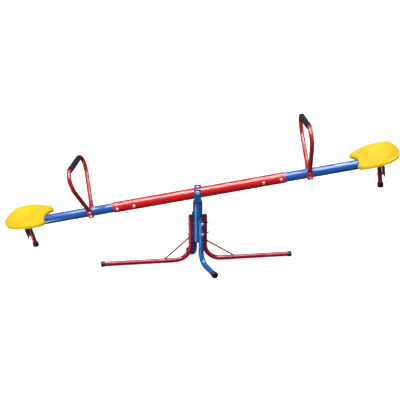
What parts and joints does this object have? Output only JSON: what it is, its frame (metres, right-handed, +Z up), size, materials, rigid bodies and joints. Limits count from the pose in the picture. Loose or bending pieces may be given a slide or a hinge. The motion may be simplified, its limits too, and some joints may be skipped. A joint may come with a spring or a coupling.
{
  "type": "seesaw",
  "caption": "Two-seat garden seesaw: tube beam with loop handles, moulded seats and bumpers, rocking in a yoke that turns on a four-legged post.",
  "frame": {"origin": "on the ground, on the centre post's axis", "axes": "+X along the beam towards the seat that is up at rest, +Y away from the side with the bolt heads, +Z up"},
  "size_m": [1.7718, 0.309, 0.7103],
  "materials": {
    "red_powder_coat": "glossy powder coat on steel tube",
    "crimson_powder_coat": "glossy powder coat on steel tube",
    "beam_blue_powder_coat": "glossy powder coat on steel tube",
    "stand_blue_powder_coat": "glossy powder coat on steel tube",
    "maroon_powder_coat": "glossy powder coat on steel tube",
    "zinc_plate": "bright zinc plated steel",
    "yellow_plastic": "moulded polyethylene, softly glossy",
    "foam_grip": "closed-cell foam sleeve, dark navy",
    "black_rubber": "moulded rubber foot",
    "black_plastic": "moulded plastic cap",
    "brown_nylon": "machined nylon bush",
    "white_nylon": "moulded nylon bush"
  },
  "bodies": {
    "stand": {"centre_post": "stand_blue_powder_coat", "post_plug": "black_plastic", "leg_left": "crimson_powder_coat", "leg_right": "crimson_powder_coat", "leg_front": "stand_blue_powder_coat", "leg_rear": "stand_blue_powder_coat", "brace_left": "crimson_powder_coat", "brace_right": "crimson_powder_coat", "leg_caps": "black_plastic", "foot_caps": "black_rubber", "leg_bolts": "zinc_plate", "leg_nuts": "zinc_plate", "leg_washers": "zinc_plate", "upper_bush": "brown_nylon", "lower_bush": "brown_nylon"},
    "swivel": {"yoke": "stand_blue_powder_coat", "swivel_stem": "stand_blue_powder_coat", "retaining_washer": "zinc_plate", "retaining_screw": "zinc_plate", "pivot_bolt": "zinc_plate", "pivot_washers": "zinc_plate", "pivot_nut": "zinc_plate"},
    "beam": {"middle_tube": "red_powder_coat", "pivot_sleeve": "zinc_plate", "pivot_bushes": "white_nylon", "arm_left": "beam_blue_powder_coat", "arm_right": "beam_blue_powder_coat", "arm_plugs": "black_plastic", "joint_bolts": "zinc_plate", "joint_washers": "zinc_plate", "joint_nuts": "zinc_plate", "handle_left": "red_powder_coat", "handle_right": "red_powder_coat", "grip_left": "foam_grip", "grip_right": "foam_grip", "handle_bolts": "zinc_plate", "handle_nuts": "zinc_plate", "seat_left": "yellow_plastic", "seat_right": "yellow_plastic", "seat_brackets": "maroon_powder_coat", "seat_screws": "zinc_plate", "bumper_left": "maroon_powder_coat", "bumper_right": "maroon_powder_coat", "bumper_feet": "black_rubber", "bumper_stays": "maroon_powder_coat", "stay_spacers": "zinc_plate", "stay_bolts": "zinc_plate", "stay_nuts": "zinc_plate"}
  },
  "joints": [
    {"name": "swivel_turn", "type": "hinge", "parent": "stand", "child": "swivel", "pos_m": [0, 0, 0.308], "axis": [0, 0, 1], "continuous": true},
    {"name": "beam_rock", "type": "hinge", "parent": "swivel", "child": "beam", "pos_m": [0, 0, 0.372], "axis": [0, -1, 0], "range_deg": [-27.6, 5.4]}
  ]
}
